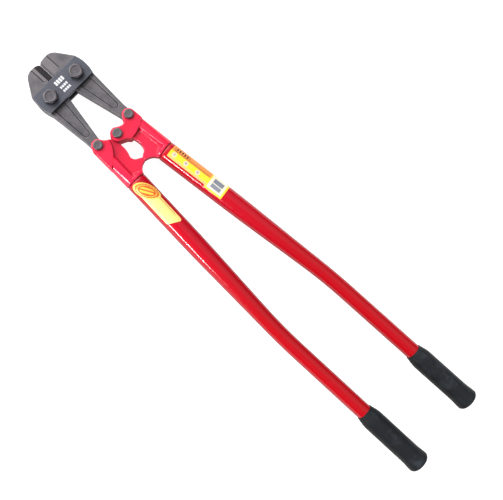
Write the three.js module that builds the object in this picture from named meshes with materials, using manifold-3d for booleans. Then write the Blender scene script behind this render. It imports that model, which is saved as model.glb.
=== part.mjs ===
// Long-handled bolt cutters, 900 mm class, lying flat with the jaws closed.
// Millimetres. +X runs along the tool from the jaws to the grips, +Y runs across it
// towards the right handle, and +Z is up, out of the side that shows the bolt heads.
// Everything is laid out about the centre pin and moved to the final origin at the end:
// the middle of the underside of the whole tool.

import * as THREE from 'three';
import { mergeVertices } from 'three/addons/utils/BufferGeometryUtils.js';
import Module from 'manifold-3d';

const wasm = await Module();
wasm.setup();

// ---------------------------------------------------------------- driving dimensions

// Gap kept between two pieces that touch, and half of it on each side of the middle line.
const GAP = 0.3;
const HALF_GAP = GAP / 2;

// Pivots in plan, for the right-hand side. The left-hand side mirrors them.
const JAW_BOLT = { x: -115, y: 29 };
const TAIL_PIN = { x: -8.6, y: 35.7 };
const CENTRE_PIN = { x: 0, y: 0 };

// Thicknesses, measured from the middle plane of the tool.
const JAW_HALF = 8;
const SLOT_HALF = JAW_HALF + GAP;
const PLATE_THICKNESS = 6;
const PLATE_OUTSIDE = SLOT_HALF + PLATE_THICKNESS;
const YOKE_HALF = 15.5;
const WEB_HALF = JAW_HALF;

// Jaw fasteners.
const JAW_BOLT_RADIUS = 8;
const JAW_BOLT_FLATS = 22;
const JAW_BOLT_HEAD = 9;
const LOCK_WASHER_RADIUS = 12;
const LOCK_WASHER_THICKNESS = 2.2;
const LOCK_WASHER_SPLIT = 1.6;
const JAW_NUT_FLATS = 24;
const JAW_NUT_THICKNESS = 8;

// The linkage is opened at the right jaw bolt: the right jaw's hole is long enough for
// this much travel to each side across the tool, and wide enough for the jaw to turn.
const OPEN_PIVOT_TRAVEL = 3.3;
const OPEN_PIVOT_GAP = 0.9;

// Round-headed pins of the yokes.
const PIN_RADIUS = 5;
const PIN_HEAD_RADIUS = 8;
const PIN_HEAD_THICKNESS = 5;
const PIN_NUT_FLATS = 16;
const PIN_NUT_THICKNESS = 6;

// Eyes and lugs around the pins.
const JAW_EYE_RADIUS = 9;
const FORK_EYE_RADIUS = 11;
const FORK_SLOT_RADIUS = 12.3;
const LUG_RADIUS = 12;
const LUG_CLEARANCE_RADIUS = LUG_RADIUS + 0.4;

// Handle: a straight flaring stretch, a gentle bend, and a nearly straight end.
const HANDLE_START = { x: 72, y: 35 };
const FLARE_ANGLE = THREE.MathUtils.degToRad(4.8);
const GRIP_ANGLE = THREE.MathUtils.degToRad(0.6);
const BEND_START = 305;
const BEND_LENGTH = 80;
const BEND_END = BEND_START + BEND_LENGTH;

// Tube, along the handle from the yoke.
const TUBE_RADIUS = 17.5;
const TUBE_WALL = 2.6;
const TUBE_SMALL_RADIUS = 13.8;
const TAPER_START = 110;
const TAPER_END = 350;
const TUBE_END = 659;

// The yoke's round collar, a little larger than the tube where they meet.
const COLLAR_RADIUS = TUBE_RADIUS + 0.6;

// Grip, along the handle from the yoke.
const GRIP_START = 535;
const GRIP_END = 666;
const GRIP_RADIUS = 18.4;
const GRIP_CAP_RADIUS = 19.7;

// Facets on a full circle: large turned shapes, and small bores and pins. A curved
// stretch of an outline has its own number.
const ROUND = 36;
const SMALL_ROUND = 24;
const CURVE_SEGMENTS = 12;

// ---------------------------------------------------------------- materials

function finish(color, roughness, metalness) {
  return { color, roughness, metalness };
}

const FINISHES = {
  jawSteel: finish(0x827d7d, 0.55, 0.6),
  plateSteel: finish(0x5f5f64, 0.5, 0.6),
  boltSteel: finish(0x6e706e, 0.45, 0.8),
  redCasting: finish(0xe0203c, 0.35, 0.1),
  redTube: finish(0xd8101c, 0.2, 0.1),
  blackRubber: finish(0x1e2021, 0.7, 0),
  yellowLabel: finish(0xf2d24a, 0.45, 0),
};

// ---------------------------------------------------------------- geometry helpers

/** A manifold solid from a closed three.js geometry. */
function toSolid(geometry) {
  const bare = geometry.clone();
  bare.deleteAttribute('normal');
  bare.deleteAttribute('uv');
  const merged = mergeVertices(bare, 1e-4);
  return new wasm.Manifold(new wasm.Mesh({
    numProp: 3,
    vertProperties: new Float32Array(merged.attributes.position.array),
    triVerts: new Uint32Array(merged.index.array),
  }));
}

/** A three.js geometry from a manifold solid. */
function toGeometry(solid) {
  const mesh = solid.getMesh();
  const geometry = new THREE.BufferGeometry();
  geometry.setAttribute('position', new THREE.BufferAttribute(mesh.vertProperties, 3));
  geometry.setIndex(new THREE.BufferAttribute(mesh.triVerts, 1));
  return geometry;
}

/** The same closed geometry on the other side of the tool's middle line. */
function mirrored(geometry) {
  const copy = mergeVertices(geometry.clone().deleteAttribute('normal').deleteAttribute('uv'), 1e-4);
  copy.scale(1, -1, 1);
  const index = copy.index;
  for (let i = 0; i < index.count; i += 3) {
    const second = index.getX(i + 1);
    index.setX(i + 1, index.getX(i + 2));
    index.setX(i + 2, second);
  }
  return copy;
}

/** A closed outline from [x, y] corners. */
function polygon(corners) {
  return new THREE.Shape(corners.map(([x, y]) => new THREE.Vector2(x, y)));
}

/** A disc outline about a pivot. */
function disc(pivot, radius) {
  return new THREE.Shape().absarc(pivot.x, pivot.y, radius, 0, 2 * Math.PI, false);
}

/** The outline as corners, without the ones that fall on the corner before them. */
function distinctCorners(shape) {
  const nearest = 0.3;
  const corners = shape.getPoints(CURVE_SEGMENTS);
  return corners.filter((corner, i) => corner.distanceTo(corners.at(i - 1)) > nearest);
}

/** An outline stood up from one height to another, with its top and bottom edges rounded. */
function slab(shape, bottom, top, rounding = 0) {
  const geometry = new THREE.ExtrudeGeometry(new THREE.Shape(distinctCorners(shape)), {
    depth: top - bottom - 2 * rounding,
    bevelEnabled: rounding > 0,
    bevelThickness: rounding,
    bevelSize: rounding,
    bevelOffset: -rounding,
    bevelSegments: 2,
  });
  geometry.translate(0, 0, bottom + rounding);
  return toSolid(geometry);
}

/** A turned solid about a vertical line through a pivot, from a [radius, z] profile. */
function turned(pivot, profile, facets = SMALL_ROUND) {
  const geometry = new THREE.LatheGeometry(profile.map(([r, z]) => new THREE.Vector2(r, z)), facets);
  geometry.rotateX(Math.PI / 2);
  geometry.translate(pivot.x, pivot.y, 0);
  return toSolid(geometry);
}

/** A round rod about a vertical line, to add or to drill with. */
function rod(pivot, radius, bottom, top) {
  return turned(pivot, [[0, bottom], [radius, bottom], [radius, top], [0, top]]);
}

/** A hexagon with its corners chamfered at the top, or at both ends for a nut. */
function hexagon(pivot, flats, bottom, top, chamferBelow) {
  const corner = flats / Math.sqrt(3);
  const inside = 0.45 * flats;
  const drop = (corner - inside) * Math.tan(Math.PI / 6);
  const prism = new THREE.CylinderGeometry(corner, corner, top - bottom, 6);
  prism.rotateX(Math.PI / 2);
  prism.translate(pivot.x, pivot.y, (top + bottom) / 2);
  const envelope = turned(pivot, [
    [0, bottom],
    [chamferBelow ? inside : corner, bottom],
    [corner, chamferBelow ? bottom + drop : bottom + GAP],
    [corner, top - drop],
    [inside, top],
    [0, top],
  ], ROUND);
  return toSolid(prism).intersect(envelope);
}

// ---------------------------------------------------------------- jaws

/** Plan outline of the right jaw: nose, boss under the side plates, arm and tail eye. */
function jawOutline() {
  const shape = new THREE.Shape();
  shape.moveTo(-167.5, HALF_GAP);
  shape.lineTo(-170, 4);
  shape.lineTo(-170, 17);
  shape.quadraticCurveTo(-169.5, 26.5, -162.5, 32);
  shape.lineTo(-138, 49.3);
  shape.quadraticCurveTo(-116, 52, -97, 48.4);
  shape.lineTo(-28, 43.9);
  shape.lineTo(TAIL_PIN.x, TAIL_PIN.y + JAW_EYE_RADIUS);
  shape.absarc(TAIL_PIN.x, TAIL_PIN.y, JAW_EYE_RADIUS, Math.PI / 2, -0.56 * Math.PI, true);
  shape.lineTo(-94, 9.3);
  shape.lineTo(-112, 5.8);
  shape.quadraticCurveTo(-126, 4, -132, HALF_GAP);
  shape.closePath();
  return shape;
}

/** The ground flat beside the cutting edge, sunk a little below the forged face. */
const NOSE_FLAT = { width: 17.5, back: -140, depth: 0.8 };

/** The knife edge: a thin land at the middle plane and a slope up to the ground flat. */
const CUTTING_EDGE = { land: 0.6, width: 11, back: -131 };

/** What is ground away from one face of the jaw to leave the cutting edge. */
function cuttingBevel(face) {
  const rise = JAW_HALF - NOSE_FLAT.depth - CUTTING_EDGE.land;
  const slope = rise / (CUTTING_EDGE.width - HALF_GAP);
  const inner = -2;
  const outer = CUTTING_EDGE.width + 4;
  const heightAt = (y) => CUTTING_EDGE.land + slope * (y - HALF_GAP);
  const section = polygon([
    [inner, heightAt(inner)],
    [outer, heightAt(outer)],
    [inner, heightAt(outer)],
  ]);
  const front = -175;
  const wedge = new THREE.ExtrudeGeometry(section, {
    depth: CUTTING_EDGE.back - front,
    bevelEnabled: false,
  });
  wedge.rotateX(Math.PI / 2);
  wedge.rotateZ(Math.PI / 2);
  wedge.translate(front, 0, 0);
  return face > 0 ? toSolid(wedge) : toSolid(flippedBelow(wedge));
}

/** The same closed geometry below the middle plane. */
function flippedBelow(geometry) {
  return mirrored(geometry).rotateX(Math.PI);
}

/** The shallow panel along each face of the arm, with a round end near the tail. */
function armPanel() {
  const shape = new THREE.Shape();
  shape.moveTo(-98, 18);
  shape.lineTo(-37, 27);
  shape.quadraticCurveTo(-31, 28.5, -31, 33.5);
  shape.quadraticCurveTo(-31.5, 38.8, -38, 39.4);
  shape.lineTo(-98, 40.4);
  shape.closePath();
  return shape;
}

function jaw(boltHole) {
  const panelDepth = 1.5;
  let body = slab(jawOutline(), -JAW_HALF, JAW_HALF, 0.8);
  const noseFlat = polygon([
    [-175, -1],
    [NOSE_FLAT.back, -1],
    [NOSE_FLAT.back, NOSE_FLAT.width - 3],
    [NOSE_FLAT.back - 2.5, NOSE_FLAT.width],
    [-175, NOSE_FLAT.width],
  ]);
  for (const face of [1, -1]) {
    const sink = (shape, depth) => {
      const levels = [face * (JAW_HALF - depth), face * (JAW_HALF + 1)];
      body = body.subtract(slab(shape, Math.min(...levels), Math.max(...levels)));
    };
    sink(noseFlat, NOSE_FLAT.depth);
    sink(armPanel(), panelDepth);
    body = body.subtract(cuttingBevel(face));
  }
  body = body.subtract(rod(TAIL_PIN, PIN_RADIUS + GAP, -JAW_HALF - 1, JAW_HALF + 1));
  return toGeometry(body.subtract(boltHole));
}

/** The jaw bolt's hole, lengthened across the tool by the travel to each side. */
function jawBoltHole(travel, gap) {
  const radius = JAW_BOLT_RADIUS + gap;
  const shape = new THREE.Shape();
  shape.absarc(JAW_BOLT.x, JAW_BOLT.y + travel, radius, 0, Math.PI, false);
  shape.absarc(JAW_BOLT.x, JAW_BOLT.y - travel, radius, Math.PI, 2 * Math.PI, false);
  shape.closePath();
  return slab(shape, -JAW_HALF - 1, JAW_HALF + 1);
}

// ---------------------------------------------------------------- side plates

/** One of the two plates that carry the jaw bolts. Its outer ends are shallow arcs. */
function sidePlate(face) {
  const front = -135.5;
  const back = -96.5;
  const corner = 47.6;
  const bulge = 54.6;
  const widest = (front + back) / 2 - 1;
  const shape = new THREE.Shape();
  shape.moveTo(front, -corner);
  shape.quadraticCurveTo(widest, -bulge, back, -corner);
  shape.lineTo(back, corner);
  shape.quadraticCurveTo(widest, bulge, front, corner);
  shape.closePath();
  const levels = [face * SLOT_HALF, face * PLATE_OUTSIDE];
  let body = slab(shape, Math.min(...levels), Math.max(...levels), 0.6);
  for (const side of [1, -1]) {
    const pivot = { x: JAW_BOLT.x, y: side * JAW_BOLT.y };
    body = body.subtract(rod(pivot, JAW_BOLT_RADIUS + GAP, -PLATE_OUTSIDE - 1, PLATE_OUTSIDE + 1));
  }
  return toGeometry(body);
}

// ---------------------------------------------------------------- jaw fasteners

const WASHER_TOP = -PLATE_OUTSIDE - GAP;
const WASHER_BOTTOM = WASHER_TOP - LOCK_WASHER_THICKNESS;
const JAW_NUT_TOP = WASHER_BOTTOM - GAP;
const JAW_NUT_BOTTOM = JAW_NUT_TOP - JAW_NUT_THICKNESS;

function jawBolt() {
  const under = PLATE_OUTSIDE + GAP;
  const head = hexagon(JAW_BOLT, JAW_BOLT_FLATS, under, under + JAW_BOLT_HEAD, false);
  return toGeometry(head.add(rod(JAW_BOLT, JAW_BOLT_RADIUS, JAW_NUT_BOTTOM + GAP, under + 1)));
}

function lockWasher() {
  const ring = rod(JAW_BOLT, LOCK_WASHER_RADIUS, WASHER_BOTTOM, WASHER_TOP)
    .subtract(rod(JAW_BOLT, JAW_BOLT_RADIUS + GAP, WASHER_BOTTOM - 1, WASHER_TOP + 1));
  const splitLength = 8;
  const splitAngle = Math.PI / 5;
  const split = new THREE.BoxGeometry(splitLength, LOCK_WASHER_SPLIT, 3 * LOCK_WASHER_THICKNESS);
  split.translate(LOCK_WASHER_RADIUS, 0, WASHER_TOP);
  split.rotateZ(splitAngle);
  split.translate(JAW_BOLT.x, JAW_BOLT.y, 0);
  return toGeometry(ring.subtract(toSolid(split)));
}

function jawNut() {
  const body = hexagon(JAW_BOLT, JAW_NUT_FLATS, JAW_NUT_BOTTOM, JAW_NUT_TOP, true);
  const bore = rod(JAW_BOLT, JAW_BOLT_RADIUS + GAP, JAW_NUT_BOTTOM - 1, JAW_NUT_TOP + 1);
  return toGeometry(body.subtract(bore));
}

// ---------------------------------------------------------------- yokes

/** How each yoke's web starts round the oval window behind the centre pin. */
const RIGHT_WINDOW = { start: [20, 12.6], bow: [30, 15.6], end: [38, 15] };
const LEFT_WINDOW = { start: [21, 8.4], bow: [31, 8.8], end: [38, 12.8] };

/**
 * The web of a yoke: a flat bar across the whole casting, at jaw thickness. Its inner edge
 * runs round the window, meets the other yoke on the middle line and turns out to the tube.
 */
function webOutline(windowEdge) {
  const shape = new THREE.Shape();
  shape.moveTo(-4.5, 14);
  shape.lineTo(13, 8);
  shape.lineTo(...windowEdge.start);
  shape.quadraticCurveTo(...windowEdge.bow, ...windowEdge.end);
  shape.quadraticCurveTo(45.5, 14, 49, 8);
  shape.lineTo(53.3, HALF_GAP);
  shape.lineTo(60.3, HALF_GAP);
  shape.quadraticCurveTo(61.5, 12, 72, 18);
  shape.lineTo(70, 50);
  shape.lineTo(0, 44.5);
  shape.lineTo(-4.5, 24);
  shape.closePath();
  return shape;
}

/**
 * The thick bar along the outer edge of a yoke. Its section changes from a low bar with a
 * rounded outer edge at the cheeks to most of the collar's circle at the tube, and its
 * inner side slopes down to the web.
 */
function rim() {
  const start = -64;
  const end = -1;
  const startHalf = 13.8;
  const startOuter = 17.6;
  const cornerRadius = 7;
  const inner = 2.5;
  const foot = [inner - 4.6, WEB_HALF - 1];
  const startSection = [foot, [inner, startHalf]];
  const endSection = [foot];
  const steps = 6;
  for (let i = 0; i <= steps; i += 1) {
    const corner = (Math.PI / 2) * (i / steps);
    startSection.push([
      startOuter - cornerRadius * (1 - Math.sin(corner)),
      startHalf - cornerRadius * (1 - Math.cos(corner)),
    ]);
    const turn = THREE.MathUtils.lerp(Math.asin(inner / COLLAR_RADIUS), Math.PI / 2, i / steps);
    endSection.push([COLLAR_RADIUS * Math.sin(turn), COLLAR_RADIUS * Math.cos(turn)]);
  }
  const points = [
    ...startSection.flatMap((place) => bothFaces(start, place)),
    ...endSection.flatMap((place) => bothFaces(end, place)),
  ];
  return wasm.Manifold.hull(points);
}

/** Two points across from the handle's middle line, above and below the middle plane. */
function bothFaces(distance, [across, up]) {
  const middle = handleAt(distance);
  const x = middle.x - across * Math.sin(middle.angle);
  const y = middle.y + across * Math.cos(middle.angle);
  return [[x, y, up], [x, y, -up]];
}

/** The right yoke's cheeks: from the tail pin's eye to the lug around the centre pin. */
function rightCheekOutline() {
  const shape = new THREE.Shape();
  shape.moveTo(-11.5, 3.4);
  shape.quadraticCurveTo(-4.2, 13, -4.6, 17);
  shape.quadraticCurveTo(-5.2, 22.6, -12.5, 25.4);
  shape.absarc(TAIL_PIN.x, TAIL_PIN.y, FORK_EYE_RADIUS, -1.94, Math.PI / 2, true);
  shape.lineTo(10, 47.4);
  shape.quadraticCurveTo(21, 29, 21.6, 10.9);
  shape.lineTo(16, 5.6);
  shape.lineTo(11.2, -4.3);
  shape.absarc(CENTRE_PIN.x, CENTRE_PIN.y, LUG_RADIUS, -0.367, -3.42, true);
  shape.closePath();
  return shape;
}

/** The left yoke's cheeks, drawn on the right: they stop short of the centre lug. */
function leftCheekOutline() {
  const shape = new THREE.Shape();
  shape.moveTo(-3.7, 16);
  shape.quadraticCurveTo(-6.5, 22.5, -12.5, 25.4);
  shape.absarc(TAIL_PIN.x, TAIL_PIN.y, FORK_EYE_RADIUS, -1.94, Math.PI / 2, true);
  shape.lineTo(33, 49.3);
  shape.quadraticCurveTo(20, 23, -3.7, 16);
  return shape;
}

/** The round collar that meets the tube, and the tang that fills the tube's end. */
function collarAndTang() {
  const collarLength = 12;
  const coneEnd = -6;
  const tangRadius = TUBE_RADIUS - TUBE_WALL - GAP;
  const tangEnd = 45;
  const chamfer = 1.5;
  return toSolid(alongHandle([
    [0, -collarLength],
    [WEB_HALF - 1, -collarLength],
    [COLLAR_RADIUS - chamfer, coneEnd],
    [COLLAR_RADIUS, coneEnd + chamfer],
    [COLLAR_RADIUS, -0.8],
    [COLLAR_RADIUS - 0.8, 0],
    [tangRadius, 0],
    [tangRadius, tangEnd - chamfer],
    [tangRadius - chamfer, tangEnd],
    [0, tangEnd],
  ]));
}

/**
 * A yoke, drawn on the right. Both are forks around the jaw's tail. At the centre pin one
 * is a fork as well, and the other is the tongue between its cheeks.
 */
function yoke(cheekOutline, windowEdge, isFork) {
  const past = YOKE_HALF + 1;
  let body = slab(cheekOutline, -YOKE_HALF, YOKE_HALF, 1.2)
    .add(slab(webOutline(windowEdge), -WEB_HALF, WEB_HALF, 0.8))
    .add(rim())
    .add(collarAndTang());
  body = body.subtract(slab(disc(TAIL_PIN, FORK_SLOT_RADIUS), -SLOT_HALF, SLOT_HALF));
  body = isFork
    ? body.subtract(slab(disc(CENTRE_PIN, LUG_CLEARANCE_RADIUS), -SLOT_HALF, SLOT_HALF))
    : body.add(slab(disc(CENTRE_PIN, LUG_RADIUS), -WEB_HALF, WEB_HALF, 0.8));
  for (const pivot of [TAIL_PIN, CENTRE_PIN]) {
    body = body.subtract(rod(pivot, PIN_RADIUS + GAP, -past, past));
  }
  return toGeometry(body);
}

// ---------------------------------------------------------------- yoke pins

/** A round-headed pin with its head above the yoke and its end inside the nut below. */
function pin(pivot) {
  const under = YOKE_HALF + GAP;
  const top = under + PIN_HEAD_THICKNESS;
  const end = -under - PIN_NUT_THICKNESS + GAP;
  const chamfer = 0.9;
  return toGeometry(turned(pivot, [
    [0, end],
    [PIN_RADIUS, end],
    [PIN_RADIUS, under],
    [PIN_HEAD_RADIUS, under],
    [PIN_HEAD_RADIUS, top - chamfer],
    [PIN_HEAD_RADIUS - chamfer, top],
    [0, top],
  ]));
}

function pinNut(pivot) {
  const top = -YOKE_HALF - GAP;
  const bottom = top - PIN_NUT_THICKNESS;
  const body = hexagon(pivot, PIN_NUT_FLATS, bottom, top, true);
  return toGeometry(body.subtract(rod(pivot, PIN_RADIUS + GAP, bottom - 1, top + 1)));
}

// ---------------------------------------------------------------- handles

/** Where the handle's middle line is at a distance from the yoke, and which way it runs. */
function handleAt(distance) {
  const bendRadius = BEND_LENGTH / (FLARE_ANGLE - GRIP_ANGLE);
  const inBend = THREE.MathUtils.clamp(distance - BEND_START, 0, BEND_LENGTH);
  const angle = FLARE_ANGLE - inBend / bendRadius;
  const straight = Math.min(distance, BEND_START);
  const last = Math.max(distance - BEND_END, 0);
  return {
    angle,
    x: HANDLE_START.x + straight * Math.cos(FLARE_ANGLE)
      + bendRadius * (Math.sin(FLARE_ANGLE) - Math.sin(angle)) + last * Math.cos(GRIP_ANGLE),
    y: HANDLE_START.y + straight * Math.sin(FLARE_ANGLE)
      + bendRadius * (Math.cos(angle) - Math.cos(FLARE_ANGLE)) + last * Math.sin(GRIP_ANGLE),
  };
}

/** Moves a geometry drawn about a straight X axis onto the handle's middle line. */
function bendOntoHandle(geometry) {
  const position = geometry.attributes.position;
  for (let i = 0; i < position.count; i += 1) {
    const middle = handleAt(position.getX(i));
    const across = position.getY(i);
    position.setX(i, middle.x - across * Math.sin(middle.angle));
    position.setY(i, middle.y + across * Math.cos(middle.angle));
  }
  return geometry;
}

/** A turned piece on the handle, from a [radius, distance] profile. */
function alongHandle(profile) {
  const points = profile.map(([radius, distance]) => new THREE.Vector2(radius, distance));
  const geometry = new THREE.LatheGeometry(points, ROUND);
  geometry.rotateZ(-Math.PI / 2);
  return bendOntoHandle(geometry);
}

/** Outer radius of the tube: full at the yoke, then a long taper to the grip's size. */
function tubeRadiusAt(distance) {
  const share = THREE.MathUtils.smoothstep(distance, TAPER_START, TAPER_END);
  return THREE.MathUtils.lerp(TUBE_RADIUS, TUBE_SMALL_RADIUS, share);
}

/** Distances at which the tube needs a ring: along the taper and around the bend. */
function tubeStations() {
  const stations = [GAP];
  const step = 40;
  for (let distance = TAPER_START; distance < BEND_END; distance += step) {
    stations.push(distance);
  }
  stations.push(BEND_END, TUBE_END);
  return stations;
}

function tube() {
  const outside = tubeStations().map((distance) => [tubeRadiusAt(distance), distance]);
  const inside = outside.map(([radius, distance]) => [radius - TUBE_WALL, distance]).reverse();
  return alongHandle([...outside, ...inside, outside[0]]);
}

/** A rubber sleeve over the tube's end: a sloped start and a wider, rounded, closed end. */
function grip() {
  const bore = TUBE_SMALL_RADIUS + GAP;
  const lip = 1.2;
  const shoulder = 17;
  const capStart = GRIP_END - 14;
  return alongHandle([
    [0, TUBE_END + GAP],
    [bore, TUBE_END + GAP],
    [bore, GRIP_START],
    [bore + 0.6, GRIP_START],
    [bore + lip, GRIP_START + 1.5],
    [GRIP_RADIUS - 0.8, GRIP_START + 0.8 * shoulder],
    [GRIP_RADIUS, GRIP_START + shoulder],
    [GRIP_RADIUS, capStart],
    [GRIP_CAP_RADIUS, capStart + 3.5],
    [GRIP_CAP_RADIUS, GRIP_END - 8],
    [GRIP_CAP_RADIUS - 1.4, GRIP_END - 4.6],
    [GRIP_CAP_RADIUS - 4.6, GRIP_END - 1.7],
    [GRIP_CAP_RADIUS - 9.5, GRIP_END - 0.3],
    [0, GRIP_END],
  ]);
}

// ---------------------------------------------------------------- labels

const LABEL_THICKNESS = 0.25;

/**
 * A thin sticker wrapped on the tube. Angles are measured from the top of the tube towards
 * the tool's outside; share(t) is the part of the full width left at t along the sticker.
 */
function sticker(start, end, fromAngle, toAngle, share) {
  const lengthSteps = 16;
  const widthSteps = 6;
  const geometry = new THREE.BoxGeometry(1, 1, 1, lengthSteps, widthSteps, 1);
  const position = geometry.attributes.position;
  const middleAngle = (fromAngle + toAngle) / 2;
  for (let i = 0; i < position.count; i += 1) {
    const along = 0.5 - 0.5 * Math.cos(Math.PI * (position.getX(i) + 0.5));
    const distance = THREE.MathUtils.lerp(start, end, along);
    const angle = middleAngle + position.getY(i) * (toAngle - fromAngle) * share(along);
    const radius = tubeRadiusAt(distance) + GAP + (position.getZ(i) + 0.5) * LABEL_THICKNESS;
    position.setXYZ(i, distance, radius * Math.sin(angle), radius * Math.cos(angle));
  }
  return bendOntoHandle(geometry);
}

/** Full width all along, with slightly rounded corners. */
function squareEnds(along) {
  const corner = 0.04;
  const fromEnd = Math.min(along, 1 - along) / corner;
  return fromEnd < 1 ? 0.88 + 0.12 * Math.sqrt(1 - (1 - fromEnd) ** 2) : 1;
}

/** An oval head at the start, full width after it, and well-rounded corners at the far end. */
function ovalHead(along) {
  const head = 0.2;
  const corner = 0.12;
  const fromStart = Math.min(along / head, 1);
  const fromEnd = Math.min((1 - along) / corner, 1);
  const headShare = Math.max(Math.sqrt(1 - (1 - fromStart) ** 2), 0.06);
  return headShare * (0.5 + 0.5 * Math.sqrt(1 - (1 - fromEnd) ** 2));
}

// ---------------------------------------------------------------- assembly

const tool = new THREE.Group();

function addPiece(name, geometry, finishName) {
  const mesh = new THREE.Mesh(geometry, new THREE.MeshStandardMaterial(FINISHES[finishName]));
  mesh.name = name;
  tool.add(mesh);
}

/** Adds a piece drawn on the right as it is, and its mirror image on the left. */
function addPair(name, geometry, finishName) {
  addPiece(`${name}_right`, geometry, finishName);
  addPiece(`${name}_left`, mirrored(geometry), finishName);
}

addPiece('jaw_right', jaw(jawBoltHole(OPEN_PIVOT_TRAVEL, OPEN_PIVOT_GAP)), 'jawSteel');
addPiece('jaw_left', mirrored(jaw(jawBoltHole(0, GAP))), 'jawSteel');
addPiece('side_plate_front', sidePlate(1), 'plateSteel');
addPiece('side_plate_back', sidePlate(-1), 'plateSteel');
addPair('jaw_bolt', jawBolt(), 'boltSteel');
addPair('jaw_lock_washer', lockWasher(), 'boltSteel');
addPair('jaw_nut', jawNut(), 'boltSteel');
addPiece('yoke_right', yoke(rightCheekOutline(), RIGHT_WINDOW, true), 'redCasting');
addPiece('yoke_left', mirrored(yoke(leftCheekOutline(), LEFT_WINDOW, false)), 'redCasting');
addPair('tail_pin', pin(TAIL_PIN), 'boltSteel');
addPair('tail_pin_nut', pinNut(TAIL_PIN), 'boltSteel');
addPiece('centre_pin', pin(CENTRE_PIN), 'boltSteel');
addPiece('centre_pin_nut', pinNut(CENTRE_PIN), 'boltSteel');
addPair('handle_tube', tube(), 'redTube');
addPair('handle_grip', grip(), 'blackRubber');
addPiece('label_right', sticker(8.5, 121, -0.7, 1.45, squareEnds), 'yellowLabel');
addPiece('label_left', mirrored(sticker(4, 97.5, -0.68, 1.03, ovalHead)), 'yellowLabel');

const box = new THREE.Box3().setFromObject(tool);
const middle = box.getCenter(new THREE.Vector3());
tool.position.set(-middle.x, -middle.y, -box.min.z);
tool.updateMatrixWorld(true);

export default tool;
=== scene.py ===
"""Looks for the bolt cutters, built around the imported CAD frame.

Metres, in the frame's own axes: +X from the jaws to the grips, +Y towards the right
handle, +Z up out of the side that shows the bolt heads. Shapes are worked out in
millimetres about the centre pin, as the part was drawn, and placed by at().
"""

import math

import bmesh
import bpy
from mathutils import Matrix, Vector


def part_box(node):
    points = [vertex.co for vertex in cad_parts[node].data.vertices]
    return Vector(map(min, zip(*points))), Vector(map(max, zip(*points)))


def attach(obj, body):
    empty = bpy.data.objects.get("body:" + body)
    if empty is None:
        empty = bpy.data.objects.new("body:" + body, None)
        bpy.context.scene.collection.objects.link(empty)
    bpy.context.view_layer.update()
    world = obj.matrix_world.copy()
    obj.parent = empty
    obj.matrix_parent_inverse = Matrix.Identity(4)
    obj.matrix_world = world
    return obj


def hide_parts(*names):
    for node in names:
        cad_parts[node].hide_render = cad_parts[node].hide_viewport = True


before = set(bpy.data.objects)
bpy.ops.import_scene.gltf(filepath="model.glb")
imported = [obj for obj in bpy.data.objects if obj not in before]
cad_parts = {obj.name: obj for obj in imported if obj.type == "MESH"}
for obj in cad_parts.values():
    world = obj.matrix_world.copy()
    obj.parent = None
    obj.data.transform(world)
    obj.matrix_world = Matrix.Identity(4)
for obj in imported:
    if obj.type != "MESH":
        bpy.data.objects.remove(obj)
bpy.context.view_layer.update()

# ---------------------------------------------------------------- driving dimensions, mm

# Gap that touching pieces keep.
GAP = 0.3

# Heights from the middle plane of the tool.
PLATE_OUTSIDE = 14.3
YOKE_HALF = 15.5

# Jaw fasteners.
JAW_BOLT_RADIUS = 8
JAW_BOLT_FLATS = 22
JAW_BOLT_HEAD = 9
LOCK_WASHER_RADIUS = 12
LOCK_WASHER_THICKNESS = 2.2
LOCK_WASHER_SPLIT = 1.6
JAW_NUT_FLATS = 24
JAW_NUT_THICKNESS = 8

# The round flat on top of a hexagon: its radius, as a share of the size across flats. Then how
# far the rounded corners reach, as a share of where sharp corners would be.
CROWN = 0.43
CORNER = 0.975

# Round-headed pins of the yokes.
PIN_RADIUS = 5
PIN_HEAD_RADIUS = 8
PIN_HEAD_THICKNESS = 5
PIN_NUT_FLATS = 16
PIN_NUT_THICKNESS = 6

# Handle line, from the yoke's end.
HANDLE_START = (72, 35)
FLARE_ANGLE = math.radians(4.8)
GRIP_ANGLE = math.radians(0.6)
BEND_START = 305
BEND_LENGTH = 80

# Tube and grip, along the handle line. The grip's cap is a touch smaller than the CAD one, so
# that its finer rings stay inside the CAD's box.
TUBE_RADIUS = 17.5
TUBE_SMALL_RADIUS = 13.8
TUBE_WALL = 2.6
TAPER_START = 110
TAPER_END = 350
TUBE_END = 659
GRIP_START = 535
GRIP_END = 666
GRIP_RADIUS = 18.4
GRIP_CAP_RADIUS = 19.65
GRIP_CAP_LENGTH = 24

# The open joint between a yoke's collar and its tube.
TUBE_GROOVE = 1.1

# Labels on the tubes: where each begins and ends along its tube, and its edges across it,
# measured round the tube from its top towards the tool's outside.
LABEL_LIFT = 0.06
LABEL_THICKNESS = 0.15
RIGHT_LABEL = (8.7, 120.8)
RIGHT_LABEL_OUTER = 25.3
RIGHT_LABEL_INNER = -8.6
PANEL_START = 86
PANEL_INNER = -12.2
LEFT_LABEL = (4.2, 97.3)
LEFT_BODY_INNER = -10.5
LEFT_BODY_OUTER = 14.5

# The tilted oval at the head of the left label.
OVAL_CENTRE = 25.5
OVAL_ACROSS = 0.5
OVAL_LENGTH = 24
OVAL_WIDTH = 12.5
OVAL_TILT = math.radians(32)

# The ground flats at the jaws' nose: how far they reach back, and half their width.
NOSE_BACK = -140
NOSE_HALF = 17.4

# The ground bevel beside the left jaw's cutting edge, painted dark as painted shade, since it faces away
# from the light: its two sides, and its back end.
SHADED_BEVEL = (-11.2, -0.5)
SHADED_BEVEL_BACK = -131.5

# Painted bars on the front plate. Each: middle along the tool, half its width, half its
# length, and how often it is cut across.
MARK_BARS = (
    (-124.5, 3.6, 9.5, 4.75),
    (-114.5, 2.0, 8.0, 4.0),
    (-107.5, 2.0, 8.0, 4.0),
)

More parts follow.
